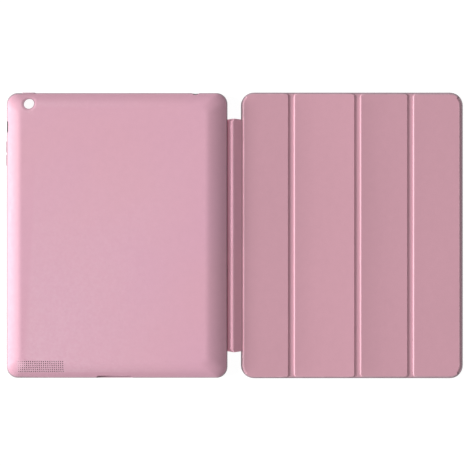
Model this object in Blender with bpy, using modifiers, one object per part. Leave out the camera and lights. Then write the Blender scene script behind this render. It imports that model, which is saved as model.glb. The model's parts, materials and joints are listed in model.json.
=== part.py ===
"""Folio case for a 9.7-inch tablet, lying open with its outer side up.

The moulded back shell lies face down at -X. A creased spine joins it to the cover at +X, which has four
stiff panels with a fold line between each pair. X runs across the open case, Y runs along the folds, and
the surface that the case lies on is Z = 0. All lengths are in metres.
"""

import math

import bmesh
import bpy
from mathutils import Matrix, Vector

# The tablet that the case holds
TABLET_WIDTH = 0.1857
TABLET_LENGTH = 0.2412
TABLET_THICKNESS = 0.0094
TABLET_PLAY = 0.0007

# Sheets that the case is made from, and the gap between neighbouring pieces
SKIN = 0.0005
CORE = 0.0010
LINING = 0.0004
BOARD = 0.0009
GAP = 0.0003

# Back shell
WALL = SKIN + GAP + CORE + TABLET_PLAY
SHELL_WIDTH = TABLET_WIDTH + 2 * WALL
SHELL_LENGTH = TABLET_LENGTH + 2 * WALL
SHELL_HEIGHT = SKIN + GAP + CORE + GAP + LINING + TABLET_THICKNESS + CORE
SHELL_CORNER = 0.0095
CROWN_CORNER = 0.0060
SHOULDER_RADIUS = 0.0040
CROWN_RADIUS = 0.0130
EDGE_SLOPE = math.radians(22)
SLOPE_RUN = 0.0090
SPINE_SIDE_SPREAD = 1.3
LIP_INSET = 0.0034

# Cover and spine
OVERHANG = 0.0011
COVER_WIDTH = SHELL_WIDTH + 2 * OVERHANG
COVER_LENGTH = SHELL_LENGTH + 2 * OVERHANG
COVER_CORNER = 0.0113
SPINE_SPACE = 0.0117
SPINE_LENGTH = 0.2018
SPINE_SKIN = 0.0004
SPINE_THICKNESS = SPINE_SKIN + GAP + LINING
SPINE_LINING_INSET = 0.0010
HINGE_GAP = GAP / 3
CREASE_GAP = 1.5 * GAP
PANEL_WIDTHS = (0.0441, 0.0575, 0.0460, 0.0453)
FLANGE_WIDTH = 0.0012
FLANGE_TOP = LINING + GAP + SKIN
COVER_TOP = LINING + GAP + BOARD + GAP + SKIN
RISE_RUN = 0.0009
RISE_TURN = (0.55, 0.78)
GROOVE_HALF = 0.0026
FOLD_STRIP_HALF = 0.0017
GROOVE_CORNER = 0.0028
FLANGE_CORNER = 0.0002
CORNER_GROWTH = 1.6

# Places across the case, from the middle of its full width
FULL_WIDTH = SHELL_WIDTH + SPINE_SPACE + COVER_WIDTH
SHELL_LEFT = -FULL_WIDTH / 2
SHELL_RIGHT = SHELL_LEFT + SHELL_WIDTH
SHELL_X = (SHELL_LEFT + SHELL_RIGHT) / 2
COVER_LEFT = SHELL_RIGHT + SPINE_SPACE
COVER_RIGHT = FULL_WIDTH / 2
SHELL_TOP_EDGE = SHELL_LENGTH / 2

# Axes that the folding pieces turn on, as (x, z): each runs along Y
SHELL_HINGE = (SHELL_RIGHT + 0.0005, 0.0008)
SPINE_CREASE = (-0.0011, 0.0052)
COVER_HINGE = (COVER_LEFT - GAP, FLANGE_TOP)
FOLD_HEIGHT = FLANGE_TOP / 2
FOLD_LINES = (
    COVER_LEFT + PANEL_WIDTHS[0],
    COVER_LEFT + PANEL_WIDTHS[0] + PANEL_WIDTHS[1],
    COVER_RIGHT - PANEL_WIDTHS[3],
)

# Openings in the shell: distances are from its outer edges
CAMERA_X = SHELL_LEFT + 0.0210
CAMERA_Y = SHELL_TOP_EDGE - 0.0105
CAMERA_RADIUS = 0.0044
HEADPHONE_X = SHELL_RIGHT - 0.0276
HEADPHONE_RADIUS = 0.0035
HEADPHONE_Z = 0.0049
SWITCH_Y = SHELL_TOP_EDGE - 0.0297
SWITCH_SIZE = (0.0028, 0.0104)
SWITCH_Z = 0.0066
DOCK_X = SHELL_X - 0.0019
DOCK_SIZE = (0.0315, 0.0046)
DOCK_Z = 0.0062
SPEAKER_X = SHELL_LEFT + 0.0311
SPEAKER_Y = -SHELL_TOP_EDGE + 0.0110
SPEAKER_COUNT = (22, 6)
SPEAKER_PITCH = (0.00182, 0.00180)
SPEAKER_HOLE_RADIUS = 0.0005
SPEAKER_WINDOW_CORNER = 0.0020
CORE_SETBACK = 0.0004

# How far cutters reach into and out of the shell, and how much of its width a round end takes
CUT_DEPTH = 0.0060
CUT_CLEAR = 0.0020
END_ROUNDING = 0.48

# Button pads, which slide inwards
PAD_HEIGHT = 0.0036
PAD_DEPTH = 0.0022
PAD_EDGE = 0.0004
PAD_Z = 0.0052
POWER_LENGTH = 0.0120
POWER_X = SHELL_LEFT + 0.0193
VOLUME_LENGTH = 0.0100
VOLUME_UP_Y = SHELL_TOP_EDGE - 0.0468
VOLUME_DOWN_Y = SHELL_TOP_EDGE - 0.0582

# Magnets in the last panel, and the steel strip in the first that they hold on to
MAGNET_SIZE = (0.0050, 0.0140)
MAGNET_INSET = 0.0090
MAGNET_Y = (-0.0840, -0.0280, 0.0280, 0.0840)
SLEEP_MAGNET_RADIUS = 0.0030
SLEEP_MAGNET_Y = 0.1040
KEEPER_SIZE = (0.0080, 0.1900)
KEEPER_INSET = 0.0170

# Facets of the round stretches, and the angles that count as edges
CORNER_STEPS = 6
SHOULDER_STEPS = 4
CROWN_STEPS = 3
CAMERA_SIDES = 20
HEADPHONE_SIDES = 16
SPEAKER_SIDES = 6
SHARP_ANGLE = math.radians(35)
BEVEL_ANGLE = math.radians(60)


def new_collection(name):
    """A fresh collection in the scene."""
    collection = bpy.data.collections.new(name)
    bpy.context.scene.collection.children.link(collection)
    return collection


def material(name, color, roughness, metallic=0.0):
    """A Principled material of one colour."""
    made = bpy.data.materials.new(name)
    made.use_nodes = True
    shader = made.node_tree.nodes["Principled BSDF"]
    shader.inputs["Base Color"].default_value = (*color, 1.0)
    shader.inputs["Roughness"].default_value = roughness
    shader.inputs["Metallic"].default_value = metallic
    made.diffuse_color = (*color, 1.0)
    return made


def finish(bm, name, finish_material, axis=None):
    """The object for a mesh built in world coordinates, with its origin on the axis that it turns on."""
    mesh = bpy.data.meshes.new(name)
    bmesh.ops.recalc_face_normals(bm, faces=bm.faces)
    bm.to_mesh(mesh)
    bm.free()
    mesh.materials.append(finish_material)
    mesh.shade_smooth()
    mesh.set_sharp_from_angle(angle=SHARP_ANGLE)
    made = bpy.data.objects.new(name, mesh)
    PARTS.objects.link(made)
    if axis is not None:
        mesh.transform(Matrix.Translation(-world_place(axis)))
        made.parent = axis
    return made


def world_place(empty):
    """Where an empty is, through all its parents, none of which is turned."""
    place = Vector(empty.location)
    while empty.parent is not None:
        empty = empty.parent
        place += empty.location
    return place


def axis_empty(name, place, parent=None):
    """An empty on a joint's axis. Its place is in world coordinates."""
    empty = bpy.data.objects.new(name, None)
    empty.empty_display_size = 0.01
    PARTS.objects.link(empty)
    offset = Vector(place)
    if parent is not None:
        offset -= world_place(parent)
        empty.parent = parent
    empty.location = offset
    return empty


# ---------------------------------------------------------------- building blocks


def rounded_outline(x_min, x_max, y_min, y_max, radii, z):
    """Points around a rectangle with round corners, anticlockwise from the lower left one."""
    centres = ((x_min, y_min, 1, 1), (x_max, y_min, -1, 1), (x_max, y_max, -1, -1), (x_min, y_max, 1, -1))
    points = []
    for quarter, ((x, y, to_x, to_y), radius) in enumerate(zip(centres, radii)):
        for step in range(CORNER_STEPS + 1):
            angle = math.pi + (quarter + step / CORNER_STEPS) * math.pi / 2
            points.append((
                x + to_x * radius + radius * math.cos(angle),
                y + to_y * radius + radius * math.sin(angle),
                z,
            ))
    return points


def lofted_sheet(rings):
    """An open surface through rings of points, closed by a flat face at the last ring."""
    bm = bmesh.new()
    loops = [[bm.verts.new(point) for point in ring] for ring in rings]
    for lower, upper in zip(loops, loops[1:]):
        for i in range(len(lower)):
            j = (i + 1) % len(lower)
            bm.faces.new((lower[i], lower[j], upper[j], upper[i]))
    bm.faces.new(loops[-1])
    return bm


def thicken(target, thickness):
    """Give an open surface its thickness, on its inner side."""
    solidify = target.modifiers.new("thickness", "SOLIDIFY")
    solidify.thickness = thickness
    solidify.offset = -1
    solidify.use_even_offset = True


def rounded_box(low, high, corners=(), radius=0.0):
    """A box primitive whose chosen upright edges, each given as (x side, y side), are rounded."""
    bm = bmesh.new()
    size = [b - a for a, b in zip(low, high)]
    middle = [(a + b) / 2 for a, b in zip(low, high)]
    bmesh.ops.create_cube(bm, size=1.0)
    bmesh.ops.scale(bm, vec=size, verts=bm.verts)
    upright = []
    for edge in bm.edges:
        a, b = edge.verts
        side = (math.copysign(1, a.co.x), math.copysign(1, a.co.y))
        if abs(a.co.z - b.co.z) > size[2] / 2 and side in corners:
            upright.append(edge)
    if upright:
        bmesh.ops.bevel(
            bm, geom=upright, offset=radius, segments=CORNER_STEPS, profile=0.5, affect="EDGES"
        )
    bmesh.ops.translate(bm, vec=middle, verts=bm.verts)
    return bm


ALL_CORNERS = ((-1, -1), (1, -1), (1, 1), (-1, 1))


def cutter(bm, name, turn=None, place=None):
    """A wire-drawn solid that only cuts others."""
    mesh = bpy.data.meshes.new(name)
    bmesh.ops.recalc_face_normals(bm, faces=bm.faces)
    if turn is not None:
        bmesh.ops.transform(bm, matrix=Matrix.Translation(place) @ turn, verts=bm.verts)
    bm.to_mesh(mesh)
    bm.free()
    made = bpy.data.objects.new(name, mesh)
    made.hide_render = True
    made.display_type = "WIRE"
    CUTTERS.objects.link(made)
    return made


def cut(target, tool):
    """Take the cutter's volume out of the target."""
    boolean = target.modifiers.new(tool.name, "BOOLEAN")
    boolean.operation = "DIFFERENCE"
    boolean.solver = "EXACT"
    boolean.object = tool


FACE_LEFT = Matrix.Rotation(math.radians(-90), 4, "Y")
FACE_TOP = Matrix.Rotation(math.radians(-90), 4, "X")
FACE_BOTTOM = Matrix.Rotation(math.radians(90), 4, "X")


def slot_solid(width, height, depth_in, depth_out):
    """A round-ended slot's solid, upright on its own Z, with the wall's outer face at Z = 0."""
    low = (-width / 2, -height / 2, -depth_in)
    high = (width / 2, height / 2, depth_out)
    return rounded_box(low, high, ALL_CORNERS, min(width, height) * END_ROUNDING)


# ---------------------------------------------------------------- back shell


def edge_section(inset):
    """The shell's edge in section, as (distance in from the outside, height) from the wall to the back."""
    shoulder = SHOULDER_RADIUS - inset
    crown = CROWN_RADIUS - inset
    flat_height = SHELL_HEIGHT - inset
    crown_drop = crown * (1 - math.cos(EDGE_SLOPE))
    slope_drop = SLOPE_RUN * math.sin(EDGE_SLOPE)
    wall_top = flat_height - crown_drop - slope_drop - shoulder * math.cos(EDGE_SLOPE)
    section = []
    for step in range(SHOULDER_STEPS + 1):
        angle = (math.pi / 2 - EDGE_SLOPE) * step / SHOULDER_STEPS
        section.append((inset + shoulder * (1 - math.cos(angle)), wall_top + shoulder * math.sin(angle)))
    slope_end = section[-1][0] + SLOPE_RUN * math.cos(EDGE_SLOPE)
    slope_height = section[-1][1] + slope_drop
    for step in range(CROWN_STEPS + 1):
        angle = EDGE_SLOPE * (1 - step / CROWN_STEPS)
        section.append((
            slope_end + crown * (math.sin(EDGE_SLOPE) - math.sin(angle)),
            slope_height + crown * (math.cos(angle) - math.cos(EDGE_SLOPE)),
        ))
    return section


EDGE_WIDTH = edge_section(0)[-1][0]
SHOULDER_WIDTH = edge_section(0)[SHOULDER_STEPS][0]


def shell_ring(inset, height):
    """The shell's outline at one distance in from its outside. Its slope is wider on the spine's side."""
    radius = SHELL_CORNER - (SHELL_CORNER - CROWN_CORNER) * inset / EDGE_WIDTH
    spread = max(0.0, inset - SHOULDER_WIDTH) * (SPINE_SIDE_SPREAD - 1)
    return rounded_outline(
        SHELL_LEFT + inset,
        SHELL_RIGHT - inset - spread,
        -SHELL_LENGTH / 2 + inset,
        SHELL_LENGTH / 2 - inset,
        (radius,) * 4,
        height,
    )


def shell_layer(name, finish_material, section, thickness):
    """One bowl-shaped layer of the shell, from its edge section."""
    bm = lofted_sheet([shell_ring(inset, height) for inset, height in section])
    layer = finish(bm, name, finish_material)
    thicken(layer, thickness)
    return layer


def camera_cutter(name, grow):
    """The round hole for the camera, down through the back."""
    bm = bmesh.new()
    radius = CAMERA_RADIUS + grow
    bmesh.ops.create_cone(
        bm,
        cap_ends=True,
        segments=CAMERA_SIDES,
        radius1=radius,
        radius2=radius,
        depth=2 * CUT_DEPTH,
    )
    return cutter(bm, name, Matrix.Identity(4), Vector((CAMERA_X, CAMERA_Y, SHELL_HEIGHT)))


def headphone_cutter(name, grow):
    """The round hole for the headphone plug, in the wall at the camera end."""
    bm = bmesh.new()
    radius = HEADPHONE_RADIUS + grow
    bmesh.ops.create_cone(
        bm,
        cap_ends=True,
        segments=HEADPHONE_SIDES,
        radius1=radius,
        radius2=radius,
        depth=2 * CUT_DEPTH,
    )
    return cutter(bm, name, FACE_TOP, Vector((HEADPHONE_X, SHELL_TOP_EDGE, HEADPHONE_Z)))


def dock_cutter(name, grow):
    """The long slot for the charging plug, in the wall at the other end."""
    bm = slot_solid(DOCK_SIZE[0] + 2 * grow, DOCK_SIZE[1] + 2 * grow, CUT_DEPTH, CUT_CLEAR)
    return cutter(bm, name, FACE_BOTTOM, Vector((DOCK_X, -SHELL_TOP_EDGE, DOCK_Z)))


def switch_cutter(name, grow):
    """The slot for the side switch, in the long wall away from the spine."""
    bm = slot_solid(SWITCH_SIZE[0] + 2 * grow, SWITCH_SIZE[1] + 2 * grow, CUT_DEPTH, CUT_CLEAR)
    return cutter(bm, name, FACE_LEFT, Vector((SHELL_LEFT, SWITCH_Y, SWITCH_Z)))


def speaker_window_cutter(name, grow):
    """One window behind the whole grille, for the layers under the skin."""
    half_x = SPEAKER_COUNT[0] * SPEAKER_PITCH[0] / 2 + grow
    half_y = SPEAKER_COUNT[1] * SPEAKER_PITCH[1] / 2 + grow
    bm = rounded_box(
        (SPEAKER_X - half_x, SPEAKER_Y - half_y, SHELL_HEIGHT - CUT_DEPTH - CUT_CLEAR),
        (SPEAKER_X + half_x, SPEAKER_Y + half_y, SHELL_HEIGHT + CUT_CLEAR),
        ALL_CORNERS,
        SPEAKER_WINDOW_CORNER,
    )
    return cutter(bm, name)


def speaker_holes_cutter(name):
    """A grid of small prisms, one for each hole of the grille."""
    bm = bmesh.new()
    for column in range(SPEAKER_COUNT[0]):
        for row in range(SPEAKER_COUNT[1]):
            x = SPEAKER_X + (column - (SPEAKER_COUNT[0] - 1) / 2) * SPEAKER_PITCH[0]
            y = SPEAKER_Y + (row - (SPEAKER_COUNT[1] - 1) / 2) * SPEAKER_PITCH[1]
            bmesh.ops.create_cone(
                bm,
                cap_ends=True,
                segments=SPEAKER_SIDES,
                radius1=SPEAKER_HOLE_RADIUS,
                radius2=SPEAKER_HOLE_RADIUS,
                depth=2 * CUT_DEPTH,
                matrix=Matrix.Translation((x, y, SHELL_HEIGHT)),
            )
    return cutter(bm, name)


# Each pad: name, size of its face on its own X and Y, the way it faces, and its place on the wall
PADS = (
    (
        "power_button_pad",
        (POWER_LENGTH, PAD_HEIGHT),
        FACE_TOP,
        Vector((POWER_X, SHELL_TOP_EDGE, PAD_Z)),
    ),
    (
        "volume_up_pad",
        (PAD_HEIGHT, VOLUME_LENGTH),
        FACE_LEFT,
        Vector((SHELL_LEFT, VOLUME_UP_Y, PAD_Z)),
    ),
    (
        "volume_down_pad",
        (PAD_HEIGHT, VOLUME_LENGTH),
        FACE_LEFT,
        Vector((SHELL_LEFT, VOLUME_DOWN_Y, PAD_Z)),
    ),
)


def cut_side_openings(layer, grow):
    """Every opening that goes through the shell's back and walls in one layer."""
    cut(layer, camera_cutter(layer.name + "_camera", grow))
    cut(layer, headphone_cutter(layer.name + "_headphone", grow))
    cut(layer, dock_cutter(layer.name + "_dock", grow))
    cut(layer, switch_cutter(layer.name + "_switch", grow))
    for pad_name, (width, height), turn, place in PADS:
        room = 2 * (GAP + grow)
        window = slot_solid(width + room, height + room, CUT_DEPTH, CUT_CLEAR)
        cut(layer, cutter(window, layer.name + "_" + pad_name, turn, place))


def build_shell():
    """The three layers of the back shell: outer skin, moulded core and inner lining."""
    skin_section = edge_section(0)
    skin_section.insert(0, (0.0, GAP))
    skin = shell_layer("shell_skin", SKIN_BACK, skin_section, SKIN)
    cut_side_openings(skin, 0.0)
    cut(skin, speaker_holes_cutter("shell_skin_speaker"))

    core_inset = SKIN + GAP
    core_section = edge_section(core_inset)
    core_section.insert(0, (core_inset, 0.0))
    core_section.insert(0, (LIP_INSET, 0.0))
    core = shell_layer("shell_core", CORE_PLASTIC, core_section, CORE)
    cut_side_openings(core, CORE_SETBACK)
    cut(core, speaker_window_cutter("shell_core_speaker", CORE_SETBACK))

    lining_section = edge_section(core_inset + CORE + GAP)[SHOULDER_STEPS:]
    lining = shell_layer("shell_lining", LINING_FABRIC, lining_section, LINING)
    cut(lining, camera_cutter("shell_lining_camera", 2 * CORE_SETBACK))
    cut(lining, speaker_window_cutter("shell_lining_speaker", 2 * CORE_SETBACK))


def build_pads():
    """Round-ended pads over the tablet's buttons. Each one's origin is on its line of travel."""
    for name, (width, height), turn, place in PADS:
        bm = slot_solid(width, height, PAD_DEPTH, 0.0)
        pad = finish(bm, name, SKIN_BACK)
        pad.matrix_world = Matrix.Translation(place) @ turn
        bevel = pad.modifiers.new("edge", "BEVEL")
        bevel.width = PAD_EDGE
        bevel.segments = 2
        bevel.limit_method = "ANGLE"
        bevel.angle_limit = BEVEL_ANGLE


# ---------------------------------------------------------------- spine


def spine_sheet(name, finish_material, axis, start, end, length, heights, turn):
    """A flat strip in the spine, drawn along its axis's own X and then turned about that axis."""
    low = (start, -length / 2, heights[0])
    high = (end, length / 2, heights[1])
    bm = rounded_box(low, high)
    strip = finish(bm, name, finish_material)
    strip.parent = axis
    strip.rotation_euler = (0.0, -turn, 0.0)
    return strip


def build_spine(shell_hinge, crease):
    """The two halves of the spine, which meet at its crease."""
    run = SPINE_CREASE[0] - SHELL_HINGE[0]
    rise = SPINE_CREASE[1] - SHELL_HINGE[1]
    span = math.hypot(run, rise)
    tilt = math.asin(SPINE_THICKNESS / span)
    turn = math.atan2(rise, run) + tilt
    end = span * math.cos(tilt) - CREASE_GAP
    skin_length = SPINE_LENGTH
    lining_length = SPINE_LENGTH - 2 * SPINE_LINING_INSET
    heights = (-SPINE_SKIN, 0.0)
    spine_sheet("spine_inner_skin", SKIN_COVER, shell_hinge, HINGE_GAP, end, skin_length, heights, turn)
    heights = (-SPINE_THICKNESS, LINING - SPINE_THICKNESS)
    spine_sheet("spine_inner_lining", LINING_FABRIC, shell_hinge, GAP, end, lining_length, heights, turn)

    run = COVER_HINGE[0] - SPINE_CREASE[0]
    drop = SPINE_CREASE[1] - COVER_HINGE[1]
    span = math.hypot(run, drop)
    tilt = math.asin(SPINE_THICKNESS / span)
    turn = -math.atan2(drop, run) - tilt
    end = span * math.cos(tilt) - GAP
    heights = (SPINE_THICKNESS - SPINE_SKIN, SPINE_THICKNESS)
    spine_sheet("spine_outer_skin", SKIN_COVER, crease, CREASE_GAP, end, skin_length, heights, turn)
    heights = (0.0, LINING)
    spine_sheet("spine_outer_lining", LINING_FABRIC, crease, CREASE_GAP, end, lining_length, heights, turn)


# ---------------------------------------------------------------- cover


def panel_edges(number):
    """Where a panel's thin flange starts and ends in X."""
    low = COVER_LEFT if number == 1 else FOLD_LINES[number - 2] + FOLD_STRIP_HALF + GAP
    high = COVER_RIGHT if number == 4 else FOLD_LINES[number - 1] - FOLD_STRIP_HALF - GAP
    return low, high


def panel_corners(number):
    """The panel's corners that are the cover's own, as (x side, y side)."""
    if number == 1:
        return ((-1, -1), (-1, 1))
    if number == 4:
        return ((1, -1), (1, 1))
    return ()


def panel_ring(number, inset, fold_inset, height):
    """A panel's outline, drawn in by one distance at the cover's edges and by another at its folds."""
    low, high = panel_edges(number)
    left = inset if number == 1 else fold_inset
    right = inset if number == 4 else fold_inset
    cover_radius = COVER_CORNER - inset
    fold_radius = min(GROOVE_CORNER, FLANGE_CORNER + inset * CORNER_GROWTH)
    left_radius = cover_radius if number == 1 else fold_radius
    right_radius = cover_radius if number == 4 else fold_radius
    return rounded_outline(
        low + left,
        high - right,
        -COVER_LENGTH / 2 + inset,
        COVER_LENGTH / 2 - inset,
        (left_radius, right_radius, right_radius, left_radius),
        height,
    )


def build_panel_skin(number, axis):
    """The pressed outer skin: a flange around a raised flat, with sloped sides down to the fold lines."""
    fold_flange = GROOVE_HALF - FOLD_STRIP_HALF - GAP
    turn_run = RISE_RUN * RISE_TURN[0]
    turn_height = FLANGE_TOP + (COVER_TOP - FLANGE_TOP) * RISE_TURN[1]
    rings = [
        panel_ring(number, 0.0, 0.0, FLANGE_TOP),
        panel_ring(number, FLANGE_WIDTH, fold_flange, FLANGE_TOP),
        panel_ring(number, FLANGE_WIDTH + turn_run, fold_flange + turn_run, turn_height),
        panel_ring(number, FLANGE_WIDTH + RISE_RUN, fold_flange + RISE_RUN, COVER_TOP),
    ]
    skin = finish(lofted_sheet(rings), "panel_%d_skin" % number, SKIN_COVER, axis)
    thicken(skin, SKIN)


def build_panel_board(number, axis):
    """The stiff board under the raised part of the skin. Returned so that magnets can be let into it."""
    low, high = panel_edges(number)
    edge = FLANGE_WIDTH + RISE_RUN + SKIN + GAP
    fold = GROOVE_HALF - FOLD_STRIP_HALF + RISE_RUN + SKIN
    left = edge if number == 1 else fold
    right = edge if number == 4 else fold
    bottom = LINING + GAP
    bm = rounded_box(
        (low + left, -COVER_LENGTH / 2 + edge, bottom),
        (high - right, COVER_LENGTH / 2 - edge, bottom + BOARD),
        panel_corners(number),
        COVER_CORNER - edge,
    )
    return finish(bm, "panel_%d_board" % number, BOARD_FIBRE, axis)


def build_panel_lining(number, axis):
    """The soft lining on the side that touches the tablet's screen."""
    low, high = panel_edges(number)
    left = GAP if number == 1 else 0.0
    right = GAP if number == 4 else 0.0
    bm = rounded_box(
        (low + left, -COVER_LENGTH / 2 + GAP, 0.0),
        (high - right, COVER_LENGTH / 2 - GAP, LINING),
        panel_corners(number),
        COVER_CORNER - GAP,
    )
    finish(bm, "panel_%d_lining" % number, LINING_FABRIC, axis)


def build_fold_strip(number, axis):
    """The bending strips of skin and lining at one fold line."""
    fold_x = FOLD_LINES[number - 1]
    half_length = COVER_LENGTH / 2 - GAP
    for name, bottom, top, finish_material in (
        ("fold_%d_skin_strip", LINING + GAP, FLANGE_TOP, SKIN_COVER),
        ("fold_%d_lining_strip", 0.0, LINING, LINING_FABRIC),
    ):
        bm = rounded_box(
            (fold_x - FOLD_STRIP_HALF, -half_length, bottom),
            (fold_x + FOLD_STRIP_HALF, half_length, top),
        )
        finish(bm, name % number, finish_material, axis)


def insert_in_board(board, axis, name, finish_material, low, high, corners=(), radius=0.0):
    """A flat metal piece let into a board, in a pocket cut right through it with a gap all round."""
    bottom = LINING + GAP
    piece = rounded_box((*low, bottom), (*high, bottom + BOARD), corners, radius)
    finish(piece, name, finish_material, axis)
    pocket = rounded_box(
        (low[0] - GAP, low[1] - GAP, bottom - BOARD),
        (high[0] + GAP, high[1] + GAP, bottom + 2 * BOARD),
        corners,
        radius + GAP if corners else 0.0,
    )
    cut(board, cutter(pocket, name + "_pocket"))


def build_magnets(board, axis):
    """Closure magnets and the sleep magnet along the cover's free edge."""
    x = COVER_RIGHT - MAGNET_INSET
    for index, y in enumerate(MAGNET_Y):
        insert_in_board(
            board,
            axis,
            "closure_magnet_%d" % (index + 1),
            PLATED_STEEL,
            (x - MAGNET_SIZE[0] / 2, y - MAGNET_SIZE[1] / 2),
            (x + MAGNET_SIZE[0] / 2, y + MAGNET_SIZE[1] / 2),
        )
    insert_in_board(
        board,
        axis,
        "sleep_magnet",
        PLATED_STEEL,
        (x - SLEEP_MAGNET_RADIUS, SLEEP_MAGNET_Y - SLEEP_MAGNET_RADIUS),
        (x + SLEEP_MAGNET_RADIUS, SLEEP_MAGNET_Y + SLEEP_MAGNET_RADIUS),
        ALL_CORNERS,
        2 * SLEEP_MAGNET_RADIUS * END_ROUNDING,
    )


def build_keeper(board, axis):
    """The steel strip in the first panel, which the magnets hold when the cover is folded as a stand."""
    x = COVER_LEFT + KEEPER_INSET
    insert_in_board(
        board,
        axis,
        "keeper_strip",
        PLATED_STEEL,
        (x - KEEPER_SIZE[0] / 2, -KEEPER_SIZE[1] / 2),
        (x + KEEPER_SIZE[0] / 2, KEEPER_SIZE[1] / 2),
    )


def build_cover(cover_hinge):
    """The four panels in a chain, each one hung from the fold line before it."""
    axis = cover_hinge
    for number in range(1, 5):
        if number > 1:
            place = (FOLD_LINES[number - 2], 0.0, FOLD_HEIGHT)
            axis = axis_empty("fold_%d_axis" % (number - 1), place, axis)
        build_panel_skin(number, axis)
        build_panel_lining(number, axis)
        board = build_panel_board(number, axis)
        if number == 1:
            build_keeper(board, axis)
        if number == 4:
            build_magnets(board, axis)
        if number < 4:
            build_fold_strip(number, axis)


def main():
    shell_hinge = axis_empty("shell_hinge_axis", (SHELL_HINGE[0], 0.0, SHELL_HINGE[1]))
    crease = axis_empty("crease_axis", (SPINE_CREASE[0], 0.0, SPINE_CREASE[1]), shell_hinge)
    cover_hinge = axis_empty("cover_hinge_axis", (COVER_HINGE[0], 0.0, COVER_HINGE[1]), crease)
    build_shell()
    build_pads()
    build_spine(shell_hinge, crease)
    build_cover(cover_hinge)


for old in list(bpy.data.objects):
    bpy.data.objects.remove(old, do_unlink=True)

PARTS = new_collection("tablet_case")
CUTTERS = new_collection("cutters")
SKIN_BACK = material("pink_skin_back", (0.68, 0.39, 0.49), 0.50)
SKIN_COVER = material("pink_skin_cover", (0.57, 0.31, 0.38), 0.50)
CORE_PLASTIC = material("shell_plastic", (0.60, 0.36, 0.44), 0.42)
LINING_FABRIC = material("microfibre_lining", (0.62, 0.38, 0.46), 0.95)
BOARD_FIBRE = material("fibre_board", (0.42, 0.38, 0.34), 0.85)
PLATED_STEEL = material("plated_steel", (0.60, 0.60, 0.61), 0.30, 1.0)

main()
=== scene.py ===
"""Looks of the open tablet case: skins, linings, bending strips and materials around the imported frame."""

import json
import math

import bmesh
import bpy
import numpy as np
from mathutils import Matrix, Vector


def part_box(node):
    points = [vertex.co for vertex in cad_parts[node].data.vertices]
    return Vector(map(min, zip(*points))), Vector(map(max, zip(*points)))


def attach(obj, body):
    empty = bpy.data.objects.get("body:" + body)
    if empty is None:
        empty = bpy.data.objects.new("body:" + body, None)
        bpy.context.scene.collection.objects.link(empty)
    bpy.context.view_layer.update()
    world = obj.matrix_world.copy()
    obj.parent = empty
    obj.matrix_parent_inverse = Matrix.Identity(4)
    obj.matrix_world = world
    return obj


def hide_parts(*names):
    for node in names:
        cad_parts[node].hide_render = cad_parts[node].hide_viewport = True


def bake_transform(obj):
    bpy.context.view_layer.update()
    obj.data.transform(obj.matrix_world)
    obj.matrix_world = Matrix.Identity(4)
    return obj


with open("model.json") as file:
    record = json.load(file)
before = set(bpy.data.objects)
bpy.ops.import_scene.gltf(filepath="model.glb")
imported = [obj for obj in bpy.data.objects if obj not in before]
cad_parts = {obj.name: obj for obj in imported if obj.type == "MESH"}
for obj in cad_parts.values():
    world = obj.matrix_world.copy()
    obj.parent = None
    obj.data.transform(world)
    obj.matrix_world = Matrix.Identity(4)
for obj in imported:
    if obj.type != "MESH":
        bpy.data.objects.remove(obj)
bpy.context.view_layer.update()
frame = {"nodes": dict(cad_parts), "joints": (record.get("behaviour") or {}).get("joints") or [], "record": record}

# ---------- sizes, and places taken from the frame

SKIN_LOW, SKIN_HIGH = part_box("shell_skin")

# The point on each hinge's axis at Y = 0, and the middle of each opening's box
HINGES = {joint["name"]: Vector(joint["pos_m"]) for joint in frame["joints"] if "pos_m" in joint}
OPENINGS = {
    opening["name"]: (Vector(opening["box_m"][0]) + Vector(opening["box_m"][1])) / 2
    for opening in frame["record"]["physics"]["openings"]
}

# Back shell: its edge in section, in finer steps than the frame's
SHELL_HEIGHT = SKIN_HIGH.z
SHELL_CORNER = 0.0095
CROWN_CORNER = 0.0060
CROWN_STEP = 0.0008
SHOULDER_RADIUS = 0.0050
SHOULDER_SLOPE = math.radians(38)
SLOPE_PLACES = (0.0, 0.0036, 0.0073, 0.0112, 0.0146)
SLOPE_DEGREES = (0.0, 14.0, 20.0, 27.0, 38.0)
SPREAD_START = 0.0025
SPINE_SIDE_SPREAD = 1.3
SKIN = 0.0005
SKIN_WALL_HEIGHTS = (0.0001, 0.0015, 0.0030)
CORE_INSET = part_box("shell_core")[0].x - SKIN_LOW.x
CORE = 0.0010
SHELL_LINING_INSET = CORE_INSET + CORE + 0.0003
LINING = 0.0004
LIP_INSET = 0.0034
LIP_ROUNDING = 0.0003
CORNER_STEPS = 16
SHOULDER_STEPS = 14
SLOPE_STEPS = 24
SHARP_ANGLE = math.radians(35)

# Openings in the shell
CAMERA = OPENINGS["camera_hole"]
CAMERA_MOUTH = Vector((CAMERA.x, CAMERA.y, SHELL_HEIGHT))
CAMERA_RADIUS = 0.0044
CAMERA_DISH_RADIUS = 0.0068
CAMERA_DISH_DEPTH = 0.00042
CAMERA_DISH_FOOT = 0.0090
CAMERA_SIDES = 48
HEADPHONE = OPENINGS["headphone_opening"]
HEADPHONE.y = SKIN_HIGH.y
HEADPHONE_RADIUS = 0.0035
HEADPHONE_SIDES = 32
DOCK = OPENINGS["dock_opening"]
DOCK.y = SKIN_LOW.y
DOCK_SIZE = (0.0315, 0.0046)
SWITCH = Vector((SKIN_LOW.x, SKIN_HIGH.y - 0.0297, 0.0066))
SWITCH_SIZE = (0.0028, 0.0104)
SWITCH_DISH = (0.0085, 0.0042, 0.0002)
SWITCH_DISH_EDGE = 1.8
SWITCH_DISH_REACH = 0.0070
DISH_MESH_DEPTHS = (0.0040, 0.0060)
DISH_LINE_PITCH = 0.0006
GRILLE = Vector((SKIN_LOW.x + 0.0311, SKIN_LOW.y + 0.0110, SHELL_HEIGHT))
GRILLE_COUNT = (22, 6)
GRILLE_PITCH = (0.00182, 0.00180)
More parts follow.
